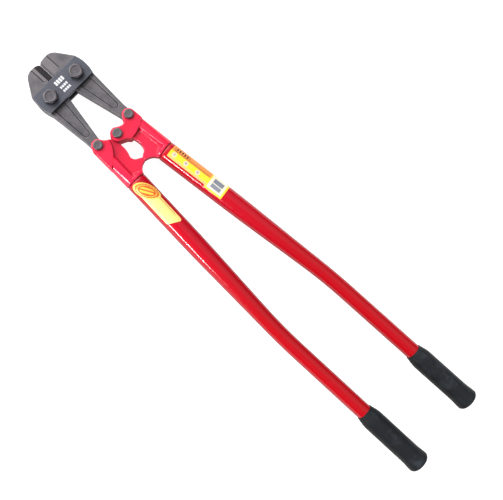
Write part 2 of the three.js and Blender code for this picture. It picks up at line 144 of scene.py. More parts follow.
# The row of spots on the right label.
SPOT_PITCH = 23.5
SPOT_START = 6
SPOT_RADIUS = 4.2
SPOT_CENTRE_RADIUS = 1.8

MM = 0.001
AROUND = 96


def middle(node):
    low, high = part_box(node)
    return (low + high) / 2


PIN_PLACE = middle("centre_pin")
MIDDLE_HEIGHT = middle("jaw_right").z


def at(x, y, z):
    """A place given in millimetres from the centre pin and the middle plane."""
    return Vector((PIN_PLACE.x + x * MM, PIN_PLACE.y + y * MM, MIDDLE_HEIGHT + z * MM))


# ---------------------------------------------------------------- mesh helpers


def new_piece(name, points, faces, sharp_above=35):
    """An object from points and faces, facing outwards, smooth except at sharp edges."""
    mesh = bpy.data.meshes.new(name)
    mesh.from_pydata([tuple(p) for p in points], [], faces)
    work = bmesh.new()
    work.from_mesh(mesh)
    bmesh.ops.recalc_face_normals(work, faces=work.faces)
    work.to_mesh(mesh)
    work.free()
    mesh.shade_smooth()
    mesh.set_sharp_from_angle(angle=math.radians(sharp_above))
    piece = bpy.data.objects.new(name, mesh)
    bpy.context.scene.collection.objects.link(piece)
    return piece


def skin(name, rings, looped=False, capped=False):
    """A piece through rings of points. A ring of one point closes an end."""
    count = max(len(ring) for ring in rings)
    points = []
    numbered = []
    for ring in rings:
        first = len(points)
        points.extend(ring)
        numbered.append([first] * count if len(ring) == 1 else list(range(first, first + count)))
    faces = []
    following = numbered[1:] + numbered[:1] if looped else numbered[1:]
    for lower, upper in zip(numbered, following):
        for i in range(count):
            j = (i + 1) % count
            corners = list(dict.fromkeys([lower[i], lower[j], upper[j], upper[i]]))
            if len(corners) > 2:
                faces.append(corners)
    if capped:
        faces.extend([numbered[0], numbered[-1]])
    return new_piece(name, points, faces)


def circle(radius, height, around=AROUND):
    """A level ring in millimetres, or one point on the axis."""
    if radius == 0:
        return [Vector((0, 0, height * MM))]
    turns = [2 * math.pi * i / around for i in range(around)]
    return [Vector((radius * math.cos(a), radius * math.sin(a), height)) * MM for a in turns]


def rounded(corners, steps=5):
    """(radius, height, rounding) corners as (radius, height) points with small arcs."""
    points = []
    for i, (radius, height, rounding) in enumerate(corners):
        here = Vector((radius, height))
        if rounding == 0:
            points.append(here)
            continue
        before = Vector(corners[i - 1][:2])
        after = Vector(corners[i + 1][:2])
        start = here + (before - here).normalized() * rounding
        end = here + (after - here).normalized() * rounding
        for step in range(steps + 1):
            t = step / steps
            points.append((1 - t) ** 2 * start + 2 * t * (1 - t) * here + t * t * end)
    return points


def softened(name, node, voxel, passes):
    """A copy of a CAD node, remeshed finely and smoothed, so its edges round like a forging's."""
    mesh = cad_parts[node].data.copy()
    work = bmesh.new()
    work.from_mesh(mesh)
    bmesh.ops.remove_doubles(work, verts=work.verts, dist=1e-6)
    work.to_mesh(mesh)
    work.free()
    piece = bpy.data.objects.new(name, mesh)
    bpy.context.scene.collection.objects.link(piece)
    remesh = piece.modifiers.new("remesh", "REMESH")
    remesh.mode = "VOXEL"
    remesh.voxel_size = voxel * MM
    remesh.use_smooth_shade = True
    smooth = piece.modifiers.new("smooth", "SMOOTH")
    smooth.factor = 0.5
    smooth.iterations = passes
    shaped = piece.evaluated_get(bpy.context.evaluated_depsgraph_get())
    piece.data = bpy.data.meshes.new_from_object(shaped)
    piece.modifiers.clear()
    piece.data.materials.clear()
    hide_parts(node)
    return piece


# ---------------------------------------------------------------- fasteners


def hex_radius(flats, angle):
    """Distance from the axis to the side of a hexagon, with its corners just rounded off."""
    sixth = math.pi / 3
    from_flat = (angle - sixth / 2) % sixth - sixth / 2
    return min(flats / 2 / math.cos(from_flat), CORNER * flats / math.sqrt(3))


def hex_ring(flats, height, chamfer=0, inset=0):
    """A hexagon ring whose height drops with distance past the chamfer circle."""
    ring = []
    for i in range(AROUND):
        angle = 2 * math.pi * i / AROUND
        radius = hex_radius(flats, angle) - inset
        drop = chamfer * max(radius - CROWN * flats, 0) * math.tan(math.pi / 6)
        ring.append(Vector((radius * math.cos(angle), radius * math.sin(angle), height - drop)) * MM)
    return ring


def hex_bolt(name):
    """A jaw bolt about its own axis: shank, washer face, and a chamfered, dished head."""
    under = PLATE_OUTSIDE + GAP
    top = under + JAW_BOLT_HEAD
    end = -under - LOCK_WASHER_THICKNESS - GAP - JAW_NUT_THICKNESS
    crown = CROWN * JAW_BOLT_FLATS
    return skin(name, [
        circle(0, end),
        circle(JAW_BOLT_RADIUS - 1.2, end),
        circle(JAW_BOLT_RADIUS, end + 1.2),
        circle(JAW_BOLT_RADIUS, under),
        circle(crown + 0.6, under),
        circle(crown + 0.8, under + 0.4),
        hex_ring(JAW_BOLT_FLATS, under + 0.4, inset=0.3),
        hex_ring(JAW_BOLT_FLATS, under + 0.7),
        hex_ring(JAW_BOLT_FLATS, top - 0.25, chamfer=1),
        hex_ring(JAW_BOLT_FLATS, top - 0.05, chamfer=1, inset=0.3),
        circle(crown + 0.15, top - 0.08),
        circle(crown - 0.3, top),
        circle(crown - 1.2, top),
        circle(crown - 1.8, top - 0.25),
        circle(crown - 2.6, top - 0.3),
        circle(0, top - 0.3),
    ])


def hex_nut(name, flats, bore, bottom, top):
    """A nut about its own axis, chamfered at both ends, with a countersunk bore."""
    crown = CROWN * flats
    height = top - bottom
    below = hex_ring(flats, -0.1, chamfer=1)
    for point in below:
        point.z = (bottom * MM) - point.z
    return skin(name, [
        circle(bore, bottom + 1),
        circle(bore + 0.8, bottom + 0.1),
        circle(bore + 1.1, bottom),
        circle(crown - 0.2, bottom),
        below,
        hex_ring(flats, bottom + 0.35 * height),
        hex_ring(flats, top - 0.35 * height),
        hex_ring(flats, top - 0.1, chamfer=1),
        circle(crown - 0.2, top),
        circle(bore + 1.1, top),
        circle(bore + 0.8, top - 0.1),
        circle(bore, top - 1),
    ], looped=True)


def spring_washer(name):
    """A split spring washer of square wire, with its two ends standing slightly apart."""
    top = -PLATE_OUTSIDE - GAP
    bottom = top - LOCK_WASHER_THICKNESS
    inner = JAW_BOLT_RADIUS + GAP
    corner = 0.35
    section = [
        (inner, bottom + corner), (inner + corner, bottom),
        (LOCK_WASHER_RADIUS - corner, bottom), (LOCK_WASHER_RADIUS, bottom + corner),
        (LOCK_WASHER_RADIUS, top - corner), (LOCK_WASHER_RADIUS - corner, top),
        (inner + corner, top), (inner, top - corner),
    ]
    split_at = math.pi / 5
    half_split = 0.5 * LOCK_WASHER_SPLIT / LOCK_WASHER_RADIUS
    slant = 0.5 / LOCK_WASHER_RADIUS
    rings = []
    for i in range(AROUND + 1):
        turn = half_split + (2 * math.pi - 2 * half_split) * i / AROUND
        rings.append([
            Vector((
                radius * math.cos(split_at + turn + slant * (height - bottom)),
                radius * math.sin(split_at + turn + slant * (height - bottom)),
                height,
            )) * MM
            for radius, height in section
        ])
    return skin(name, rings, capped=True)


def headed_pin(name):
    """A yoke pin about its own axis: a plain shank and a thick, soft-edged round head."""
    under = YOKE_HALF + GAP
    top = under + PIN_HEAD_THICKNESS
    end = -under - PIN_NUT_THICKNESS + GAP
    profile = rounded([
        (0, end, 0),
        (PIN_RADIUS, end, 0.8),
        (PIN_RADIUS, under, 0),
        (PIN_HEAD_RADIUS, under, 0.3),
        (PIN_HEAD_RADIUS, top, 1.5),
        (PIN_HEAD_RADIUS - 3.2, top, 0.4),
        (PIN_HEAD_RADIUS - 3.8, top - 0.25, 0.3),
        (0, top - 0.3, 0),
    ])
    return skin(name, [circle(radius, height) for radius, height in profile])


def set_at(piece, node, body):
    """Stands a fastener on the axis of the CAD node that it replaces."""
    place = middle(node)
    piece.location = (place.x, place.y, MIDDLE_HEIGHT)
    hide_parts(node)
    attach(piece, body)
    return piece


# ---------------------------------------------------------------- handles


def handle_at(distance):
    """The handle line's x and y at a distance from the yoke, and its direction there."""
    bend_radius = BEND_LENGTH / (FLARE_ANGLE - GRIP_ANGLE)
    in_bend = min(max(distance - BEND_START, 0), BEND_LENGTH)
    angle = FLARE_ANGLE - in_bend / bend_radius
    straight = min(distance, BEND_START)
    last = max(distance - BEND_START - BEND_LENGTH, 0)
    x = (HANDLE_START[0] + straight * math.cos(FLARE_ANGLE)
         + bend_radius * (math.sin(FLARE_ANGLE) - math.sin(angle)) + last * math.cos(GRIP_ANGLE))
    y = (HANDLE_START[1] + straight * math.sin(FLARE_ANGLE)
         + bend_radius * (math.cos(angle) - math.cos(FLARE_ANGLE)) + last * math.sin(GRIP_ANGLE))
    return x, y, angle


def on_handle(side, distance, radius, turn):
    """A place round the handle line. turn is from the top towards the tool's outside."""
    x, y, angle = handle_at(distance)
    across = radius * math.sin(turn)
    return at(x - across * math.sin(angle), side * (y + across * math.cos(angle)), radius * math.cos(turn))


def handle_ring(side, distance, radius):
    if radius == 0:
        return [on_handle(side, distance, 0, 0)]
    return [on_handle(side, distance, radius, 2 * math.pi * i / AROUND) for i in range(AROUND)]


def tube_radius_at(distance):
    share = min(max((distance - TAPER_START) / (TAPER_END - TAPER_START), 0), 1)
    share = share * share * (3 - 2 * share)
    return TUBE_RADIUS + (TUBE_SMALL_RADIUS - TUBE_RADIUS) * share


def tube(name, side):
    """The tapered handle tube, open inside, with its end by the yoke just rounded over."""
    step = 6
    begin = TUBE_GROOVE
    count = int((TUBE_END - begin) / step)
    distances = [begin + 1 + step * i for i in range(count)] + [TUBE_END]
    outside = [(tube_radius_at(d), d) for d in distances]
    start = [(TUBE_RADIUS - 1.1, begin), (TUBE_RADIUS - 0.35, begin + 0.3)]
    mid_taper = (TAPER_START + TAPER_END) / 2
    stations = (TUBE_END, TAPER_END, mid_taper, TAPER_START, begin)
    inside = [(tube_radius_at(d) - TUBE_WALL, d) for d in stations]
    rings = [handle_ring(side, d, r) for r, d in start + outside + inside]
    return skin(name, rings, looped=True)


def grip(name, side):
    """A rubber sleeve: thin lip, sloped shoulder, straight body, and a bulged, rounded cap."""
    bore = TUBE_SMALL_RADIUS + GAP
    cap = GRIP_END - GRIP_CAP_LENGTH
    profile = rounded([
        (0, TUBE_END + GAP, 0),
        (bore, TUBE_END + GAP, 0),
        (bore, GRIP_START, 0),
        (bore + 1.0, GRIP_START, 0.4),
        (bore + 1.3, GRIP_START + 2.5, 1.2),
        (GRIP_RADIUS, GRIP_START + 17, 6),
        (GRIP_RADIUS, cap, 6),
        (GRIP_CAP_RADIUS, cap + 13, 5),
        (GRIP_CAP_RADIUS, GRIP_END - 1, 8),
        (0, GRIP_END, 0),
    ], steps=8)
    return skin(name, [handle_ring(side, distance, radius) for radius, distance in profile])


# ---------------------------------------------------------------- labels


def corner_cut(from_end, radius):
    """How far a rounded corner draws an edge in, at a distance from the end."""
    short = max(radius - from_end, 0)
    return radius - math.sqrt(radius * radius - short * short)


def right_edges(distance):
    """Both edges of the right label, which is wider along its last third."""
    from_end = min(distance - RIGHT_LABEL[0], RIGHT_LABEL[1] - distance)
    cut = corner_cut(from_end, 1.5)
    inner = RIGHT_LABEL_INNER if distance < PANEL_START else PANEL_INNER
    return inner + cut, RIGHT_LABEL_OUTER - cut


def left_edges(distance):
    """Both edges of the left label: a tilted oval, and a body with one corner drawn well in."""
    slant = OVAL_TILT
    reach = math.hypot(OVAL_LENGTH * math.cos(slant), OVAL_WIDTH * math.sin(slant))
    lean = (OVAL_LENGTH ** 2 - OVAL_WIDTH ** 2) * math.sin(slant) * math.cos(slant) / reach ** 2
    ahead = distance - OVAL_CENTRE
    half = OVAL_LENGTH * OVAL_WIDTH / reach * math.sqrt(max(1 - (ahead / reach) ** 2, 0.0004))
    inner = OVAL_ACROSS - lean * ahead - half
    outer = OVAL_ACROSS - lean * ahead + half
    if ahead < 0:
        return inner, outer
    from_end = LEFT_LABEL[1] - distance
    body_inner = LEFT_BODY_INNER + corner_cut(from_end, 4)
    body_outer = LEFT_BODY_OUTER - max(11 - from_end, 0) * 1.8
    if ahead > reach:
        return body_inner, body_outer
    return min(inner, body_inner), max(outer, body_outer)


def label(name, side, ends, edges_at):
    """A thin printed sticker on the tube. Its map "print" is in millimetres from its start."""
    lengthwise, across = 120, 24
    rings = []
    places = []
    for i in range(lengthwise + 1):
        distance = ends[0] + (ends[1] - ends[0]) * (0.5 - 0.5 * math.cos(math.pi * i / lengthwise))
        surface = tube_radius_at(distance) + LABEL_LIFT
        inner, outer = edges_at(distance)
        ring = []
        for top in (True, False):
            for j in range(across + 1):
                width = inner + (outer - inner) * (j if top else across - j) / across
                ring.append(on_handle(side, distance, surface + top * LABEL_THICKNESS, width / surface))
                places.append((distance, width))
        rings.append(ring)
    piece = skin(name, rings, capped=True)
    layer = piece.data.uv_layers.new(name="print")
    for loop in piece.data.loops:
        layer.data[loop.index].uv = places[loop.vertex_index]
    return piece


# ---------------------------------------------------------------- material helpers


def srgb(red, green, blue):
    """A colour given as screen values from 0 to 255."""
    def linear(value):
        value /= 255
        return value / 12.92 if value <= 0.04045 else ((value + 0.055) / 1.055) ** 2.4
    return (linear(red), linear(green), linear(blue), 1)


class Graph:
    """Shorthand for one material's nodes. An input may be a number, a colour or a socket."""

    def __init__(self, name, metallic=0.0, specular=0.5):
        self.material = bpy.data.materials.new(name)
        self.material.use_nodes = True
        self.nodes = self.material.node_tree.nodes
        self.shader = self.nodes["Principled BSDF"]
        self.shader.inputs["Metallic"].default_value = metallic
        self.shader.inputs["Specular IOR Level"].default_value = specular

    def put(self, socket, value):
        if isinstance(value, bpy.types.NodeSocket):
            self.material.node_tree.links.new(value, socket)
        else:
            socket.default_value = value

    def add(self, kind, inputs, **settings):
        node = self.nodes.new(kind)
        for key, value in settings.items():
            setattr(node, key, value)
        for key, value in inputs.items():
            self.put(node.inputs[key], value)
        return node

    def place(self):
        return self.add("ShaderNodeTexCoord", {}).outputs["Object"]

    def print_map(self):
        return self.add("ShaderNodeUVMap", {}, uv_map="print").outputs["UV"]

    def part(self, vector, axis):
        return self.add("ShaderNodeSeparateXYZ", {0: vector}).outputs[axis]

    def stretched(self, vector, x, y, z):
        return self.add("ShaderNodeMapping", {"Vector": vector, "Scale": (x, y, z)}).outputs[0]

    def flat(self, first, second):
        return self.add("ShaderNodeCombineXYZ", {0: first, 1: second}).outputs[0]

    def noise(self, scale, detail=3.0, roughness=0.5, vector=None):
        inputs = {"Scale": scale, "Detail": detail, "Roughness": roughness}
        inputs["Vector"] = vector or self.place()
        return self.add("ShaderNodeTexNoise", inputs).outputs["Fac"]

    def maths(self, operation, a, b=0.0, clamp=False):
        return self.add("ShaderNodeMath", {0: a, 1: b}, operation=operation, use_clamp=clamp).outputs[0]

    def span(self, value, low, high, to_low=0.0, to_high=1.0):
        """value mapped from one range to another, smoothly, and held at the ends."""
        inputs = {"Value": value, "From Min": low, "From Max": high, "To Min": to_low, "To Max": to_high}
        node = self.add("ShaderNodeMapRange", inputs, interpolation_type="SMOOTHSTEP")
        return node.outputs[0]

    def between(self, value, low, high, soft):
        """1 where value lies between low and high, with soft edges."""
        rise = self.span(value, low - soft, low + soft)
        fall = self.span(value, high - soft, high + soft, 1.0, 0.0)
        return self.maths("MULTIPLY", rise, fall)

    def blend(self, share, first, second):
        """first where share is 0, second where it is 1. 0, 6, 7 and 2 are the colour sockets."""
        node = self.nodes.new("ShaderNodeMix")
        node.data_type = "RGBA"
        for socket, value in ((0, share), (6, first), (7, second)):
            self.put(node.inputs[socket], value)
        return node.outputs[2]

    def edges(self, low, high):
        """From 0 on flat stretches to 1 on outer edges, by how sharply the mesh turns."""
        pointiness = self.add("ShaderNodeNewGeometry", {}).outputs["Pointiness"]
        return self.span(pointiness, low, high)

    def steep(self, low, high):
        """From 0 on level faces to 1 on upright ones."""
        normal = self.add("ShaderNodeNewGeometry", {}).outputs["Normal"]
        level = self.maths("ABSOLUTE", self.part(normal, 2))
        return self.span(level, low, high, 1.0, 0.0)

    def rougher_sides(self, roughness):
        """The same roughness, but dull on upright faces, where finish is thin and unpolished."""
        return self.maths("MAXIMUM", roughness, self.maths("MULTIPLY", self.steep(0.1, 0.5), 0.75))

    def bump(self, height, distance, strength=1.0, under=None):
        inputs = {"Height": height, "Distance": distance * MM, "Strength": strength}
        if under is not None:
            inputs["Normal"] = under
        return self.add("ShaderNodeBump", inputs).outputs["Normal"]

    def finish(self, colour, roughness, normal):
        self.put(self.shader.inputs["Base Color"], colour)
        self.put(self.shader.inputs["Roughness"], roughness)
        self.put(self.shader.inputs["Normal"], normal)
        return self.material


# ---------------------------------------------------------------- metals


def jaw_steel():
    """Forged, oiled grey steel with a brown cast, and finely ground flats at the nose. Its edges carry a
    painted highlight; its creases, upright faces, nose step and the left jaw's bevel carry painted shade.
    """
    g = Graph("jaw_steel", metallic=0.75, specular=0.4)
    place = g.place()
    broad = g.noise(70, 4, 0.6)
    fine = g.noise(900, 5, 0.65)
    forged = g.blend(g.span(broad, 0.35, 0.68), srgb(95, 91, 94), srgb(79, 78, 82))
    forged = g.blend(g.span(fine, 0.5, 0.75), forged, srgb(64, 61, 64))
    along = g.part(place, 0)
    signed = g.part(place, 1)
    across = g.maths("ABSOLUTE", signed)
    nose_back = at(NOSE_BACK, 0, 0).x
    nose_side = NOSE_HALF * MM
    nose = g.maths("MULTIPLY", g.span(along, nose_back - 0.0006, nose_back, 1.0, 0.0),
                   g.span(across, nose_side - 0.0003, nose_side + 0.0003, 1.0, 0.0))
    lines = g.noise(1, 3, 0.6, g.stretched(place, 2600, 90, 400))
    ground = g.blend(lines, srgb(112, 106, 109), srgb(97, 93, 96))
    colour = g.blend(g.maths("MULTIPLY", nose, 0.75), forged, ground)
    # Painted highlight: outer edges are lightened for the light they catch.
    colour = g.blend(g.maths("MULTIPLY", g.edges(0.515, 0.56), 0.7), colour, srgb(140, 138, 143))
    # Painted shade: creases and the feet of walls go near-black, where shade falls.
    colour = g.blend(g.edges(0.498, 0.486), colour, srgb(24, 22, 24))
    # Painted shade: the wall of the step beside the ground nose flat is painted dark, as it faces away
    # from the light.
    step = g.maths("MULTIPLY", g.between(across, nose_side - 0.0002, nose_side + 0.0006, 0.0002),
                   g.span(along, nose_back - 0.001, nose_back, 1.0, 0.0))
    colour = g.blend(g.maths("MULTIPLY", step, 0.8), colour, srgb(40, 36, 38))
    # Painted shade: the left jaw's bevel is painted near-black, as it lies in shade.
    bevel_shade_back = at(SHADED_BEVEL_BACK, 0, 0).x
    bevel_shade = g.maths("MULTIPLY", g.between(signed, SHADED_BEVEL[0] * MM, SHADED_BEVEL[1] * MM, 0.0002),
                    g.span(along, bevel_shade_back, bevel_shade_back + 0.0005, 1.0, 0.0))
    colour = g.blend(g.maths("MULTIPLY", bevel_shade, 0.85), colour, srgb(46, 42, 44))
    # Painted shade: upright faces go near-black, as if in shade.
    colour = g.blend(g.maths("MULTIPLY", g.steep(0.25, 0.6), 0.6), colour, srgb(34, 32, 34))
    roughness = g.span(g.maths("ADD", fine, g.maths("MULTIPLY", nose, -0.25)), 0.1, 0.9, 0.36, 0.62)
    scale = g.bump(g.noise(420, 5, 0.6), 0.12)
    normal = g.bump(lines, 0.03, 0.5, scale)
    return g.finish(colour, roughness, normal)


def plate_steel(name, with_marks):
    """Dark satin steel with fine rolling lines, with a painted highlight along its edges and painted shade
    on its upright sides.
    """
    g = Graph(name, metallic=0.7, specular=0.4)
    place = g.place()
    broad = g.noise(60, 3, 0.5)
    lines = g.noise(1, 4, 0.6, g.stretched(place, 180, 2400, 300))
    colour = g.blend(broad, srgb(64, 66, 74), srgb(76, 78, 86))
    colour = g.blend(g.span(lines, 0.45, 0.8), colour, srgb(88, 90, 97))
    specks = g.span(g.noise(1500, 2, 0.5), 0.68, 0.74)
    colour = g.blend(specks, colour, srgb(58, 58, 62))
    # Painted highlight: the plate's edges are lightened for the light they catch.
    colour = g.blend(g.maths("MULTIPLY", g.edges(0.53, 0.62), 0.8), colour, srgb(130, 131, 138))
    # Painted shade: upright sides, such as the plate's back edge, go near-black.
    colour = g.blend(g.maths("MULTIPLY", g.steep(0.3, 0.7), 0.75), colour, srgb(20, 20, 24))
    if with_marks:
        colour = g.blend(plate_marks(g, place), colour, srgb(200, 202, 206))
    roughness = g.span(g.noise(300, 3, 0.6), 0.2, 0.8, 0.38, 0.55)
    normal = g.bump(lines, 0.03, 0.5, g.bump(g.noise(500, 4, 0.6), 0.05))
    return g.finish(colour, roughness, normal)


def plate_marks(g, place):
    """Plain white painted bars on the front plate, worn thin and cut into short blocks."""
    along = g.part(place, 0)
    across = g.part(place, 1)
    up = g.part(place, 2)
    marks = 0.0
    for centre, half_width, half_length, gap_every in MARK_BARS:
        bar = g.between(along, at(centre - half_width, 0, 0).x, at(centre + half_width, 0, 0).x, 0.0002)
        bar = g.maths("MULTIPLY", bar, g.between(across, -half_length * MM, half_length * MM, 0.0003))
        cut = g.maths("FRACT", g.maths("MULTIPLY", across, 1 / (gap_every * MM)))
        bar = g.maths("MULTIPLY", bar, g.between(cut, 0.14, 0.86, 0.04))
        marks = g.maths("ADD", marks, bar, clamp=True)
    face = g.span(up, at(0, 0, PLATE_OUTSIDE - 0.5).z, at(0, 0, PLATE_OUTSIDE - 0.3).z)
    worn = g.span(g.noise(700, 3, 0.6), 0.32, 0.42)
    return g.maths("MULTIPLY", g.maths("MULTIPLY", marks, face), worn)


def fastener_steel(name, ring_spacing, light, dark):
    """Dull grey plated steel with turning marks round the fastener's own axis. Its edges carry a faint
    painted highlight, and its upright sides painted shade.
    """
    g = Graph(name, metallic=0.8, specular=0.4)
    place = g.place()
    level_place = g.stretched(place, 1, 1, 0)
    from_axis = g.add("ShaderNodeVectorMath", {0: level_place}, operation="LENGTH").outputs["Value"]
    phase = g.maths("MULTIPLY", from_axis, 2 * math.pi / (ring_spacing * MM))
    rings = g.maths("SINE", g.maths("ADD", phase, g.maths("MULTIPLY", g.noise(260, 2), 4)))
    cloud = g.noise(220, 4, 0.6)
    colour = g.blend(g.span(cloud, 0.3, 0.7), dark, light)
    # Painted highlight: a faint lightening on the edges.
    colour = g.blend(g.maths("MULTIPLY", g.edges(0.51, 0.58), 0.15), colour, srgb(132, 130, 133))
    # Painted shade: upright sides of heads and nuts go near-black.
    colour = g.blend(g.maths("MULTIPLY", g.steep(0.4, 0.95), 0.75), colour, srgb(30, 28, 30))
    colour = g.blend(g.span(g.noise(1300, 3), 0.62, 0.72), colour, srgb(72, 71, 72))
    roughness = g.span(cloud, 0.2, 0.8, 0.36, 0.52)
    normal = g.bump(rings, 0.012, 0.5, g.bump(g.noise(700, 3, 0.6), 0.03))
    return g.finish(colour, roughness, normal)


# ---------------------------------------------------------------- paint, rubber and print


def red_casting():
    """Bright red enamel, thick and slightly uneven, over a cast surface. Creases and upright faces carry
    painted shade, and outer edges a painted highlight.
    """
    g = Graph("red_casting", specular=0.3)
    broad = g.noise(45, 3, 0.5)
    colour = g.blend(broad, srgb(206, 30, 62), srgb(198, 24, 54))
    # Painted shade: creases and the feet of walls go dark maroon.
    colour = g.blend(g.edges(0.494, 0.466), colour, srgb(120, 4, 22))
    # Painted highlight: outer edges are lightened to pink.
    colour = g.blend(g.maths("MULTIPLY", g.edges(0.51, 0.56), 0.6), colour, srgb(226, 84, 112))
    # Painted shade: upright faces go dark maroon.
    colour = g.blend(g.maths("MULTIPLY", g.steep(0.05, 0.6), 0.55), colour, srgb(112, 3, 22))
    roughness = g.rougher_sides(g.span(g.noise(180, 4, 0.6), 0.25, 0.75, 0.13, 0.24))
    normal = g.bump(g.noise(120, 2, 0.5), 0.1, 0.5, g.bump(g.noise(600, 3, 0.5), 0.01, 0.5))
    return g.finish(colour, roughness, normal)


def red_tube():
    """Glossy red enamel on a smooth tube, with faint orange peel and small scuffs. It is painted lighter
    near the yoke and darker along its sides, as painted light and shade.
    """
    g = Graph("red_tube", specular=0.3)
    place = g.place()
    colour = g.blend(g.noise(12, 3, 0.5), srgb(164, 5, 28), srgb(158, 4, 24))
    # Painted light and shade: lighter near the yoke, where the light falls, and a deeper red farther
    # towards the grips.
    shaded_far_part = g.span(g.part(place, 0), at(150, 0, 0).x, at(400, 0, 0).x)
    colour = g.blend(shaded_far_part, colour, srgb(150, 2, 14))
    # Painted shade: the tube's sides go dark maroon.
    colour = g.blend(g.maths("MULTIPLY", g.steep(0.2, 0.75), 0.65), colour, srgb(98, 1, 10))
    scuff_lines = g.noise(1, 4, 0.7, g.stretched(place, 30, 700, 700))
    scuffs = g.maths("MULTIPLY", g.span(scuff_lines, 0.68, 0.76), g.span(g.noise(9, 2), 0.5, 0.62))
    colour = g.blend(g.maths("MULTIPLY", scuffs, 0.5), colour, srgb(205, 60, 66))
    roughness = g.maths("ADD", g.span(g.noise(120, 4, 0.6), 0.3, 0.7, 0.12, 0.2),
                        g.maths("MULTIPLY", scuffs, 0.25))
    normal = g.bump(g.noise(230, 2, 0.5), 0.03, 0.5)
    return g.finish(colour, g.rougher_sides(roughness), normal)


def black_rubber():
    """Near-black moulded rubber: satin, finely grained, a little dusty. Its sides carry painted shade,
    nearly black.
    """
    g = Graph("black_rubber", specular=0.1)
    dust = g.noise(60, 5, 0.65)
    colour = g.blend(g.span(dust, 0.45, 0.75), srgb(26, 28, 31), srgb(42, 46, 51))
    # Painted shade: the grip's sides go nearly black.
    colour = g.blend(g.maths("MULTIPLY", g.steep(0.4, 1.0), 0.85), colour, srgb(5, 6, 6))
    roughness = g.rougher_sides(g.span(g.noise(400, 4, 0.6), 0.25, 0.75, 0.36, 0.48))
    grain = g.noise(1600, 3, 0.6)
    normal = g.bump(grain, 0.02, 0.6, g.bump(g.noise(110, 3, 0.5), 0.15, 0.35))
    return g.finish(colour, roughness, normal)


def sticker_finish(g, colour):
    """Semi-gloss print with faint creases and a little dirt."""
    dirt = g.span(g.noise(300, 5, 0.7), 0.6, 0.8)
    colour = g.blend(g.maths("MULTIPLY", dirt, 0.25), colour, srgb(160, 120, 70))
    roughness = g.span(g.noise(200, 3), 0.3, 0.7, 0.3, 0.42)
    return g.finish(colour, roughness, g.bump(g.noise(120, 3, 0.5), 0.06, 0.5))


def right_label():
    """Three bands, one of them a peach band along the inner edge that is painted highlight, a row of pale
    spots, and a framed grey block at the far end.
    """
    g = Graph("label_right", specular=0.25)
    mapped = g.print_map()
    along = g.part(mapped, 0)
    across = g.part(mapped, 1)
    # Painted highlight: the band along the inner edge is peach, as the light beside it washes the print
    # out.
    colour = g.blend(g.span(across, -4.6, -4.2), srgb(214, 160, 112), srgb(216, 196, 30))
    patches = g.span(g.noise(0.11, 2, 0.5, g.flat(along, across)), 0.46, 0.5)
    colour = g.blend(g.maths("MULTIPLY", patches, 0.5), colour, srgb(218, 178, 60))
    colour = g.blend(g.span(across, 5.0, 6.0), colour, srgb(210, 128, 62))
    colour = g.blend(print_ticks(g, along, across), colour, srgb(72, 32, 16))
    colour = g.blend(spot_row(g, along, across, SPOT_RADIUS), colour, srgb(192, 172, 168))
    colour = g.blend(spot_row(g, along, across, SPOT_CENTRE_RADIUS), colour, srgb(128, 122, 130))
    colour = g.blend(g.span(along, PANEL_START, PANEL_START + 1), colour, srgb(216, 186, 52))
    panel = g.maths("MULTIPLY", g.between(along, PANEL_START + 3, 117.5, 0.4),
                    g.between(across, -8.8, 21, 0.4))
    colour = g.blend(panel, colour, srgb(206, 200, 178))
    for low, high in ((-5.5, 1.5), (3.0, 12)):
        block = g.maths("MULTIPLY", g.between(along, PANEL_START + 8, 113, 0.4),
                        g.between(across, low, high, 0.4))
        colour = g.blend(block, colour, srgb(112, 116, 128))
    return sticker_finish(g, colour)


def print_ticks(g, along, across):
    """Two rows of small dark ticks near the outer edge, like worn print."""
    marks = 0.0
    for middle, half, pitch, end in ((12.0, 3.2, 5.0, 42), (7.2, 0.8, 2.6, 84)):
        ticks = g.between(g.maths("FRACT", g.maths("MULTIPLY", along, 1 / pitch)), 0.2, 0.75, 0.08)
        ticks = g.maths("MULTIPLY", ticks, g.between(across, middle - half, middle + half, 0.3))
        ticks = g.maths("MULTIPLY", ticks, g.between(along, 13, end, 0.5))
        marks = g.maths("ADD", marks, ticks, clamp=True)
    return g.maths("MULTIPLY", marks, g.span(g.noise(420, 3, 0.6), 0.3, 0.4))


def spot_row(g, along, across, radius):
    """Round spots in a row along the label, worn in places."""
    turns = g.maths("MULTIPLY", g.maths("SUBTRACT", along, SPOT_START), 1 / SPOT_PITCH)
    cell = g.maths("MULTIPLY", g.maths("FRACT", turns), SPOT_PITCH)
    beside = g.maths("SUBTRACT", cell, SPOT_PITCH / 2)
    above = g.maths("SUBTRACT", across, 0.2)
    far = g.maths("SQRT", g.maths("ADD", g.maths("POWER", beside, 2), g.maths("POWER", above, 2)))
    spots = g.span(far, radius - 0.4, radius + 0.4, 1.0, 0.0)
    mottle = g.span(g.noise(500, 3, 0.6), 0.3, 0.6, 0.5, 1.0)
    return g.maths("MULTIPLY", g.maths("MULTIPLY", spots, mottle), g.span(along, 74, 76, 1.0, 0.0))


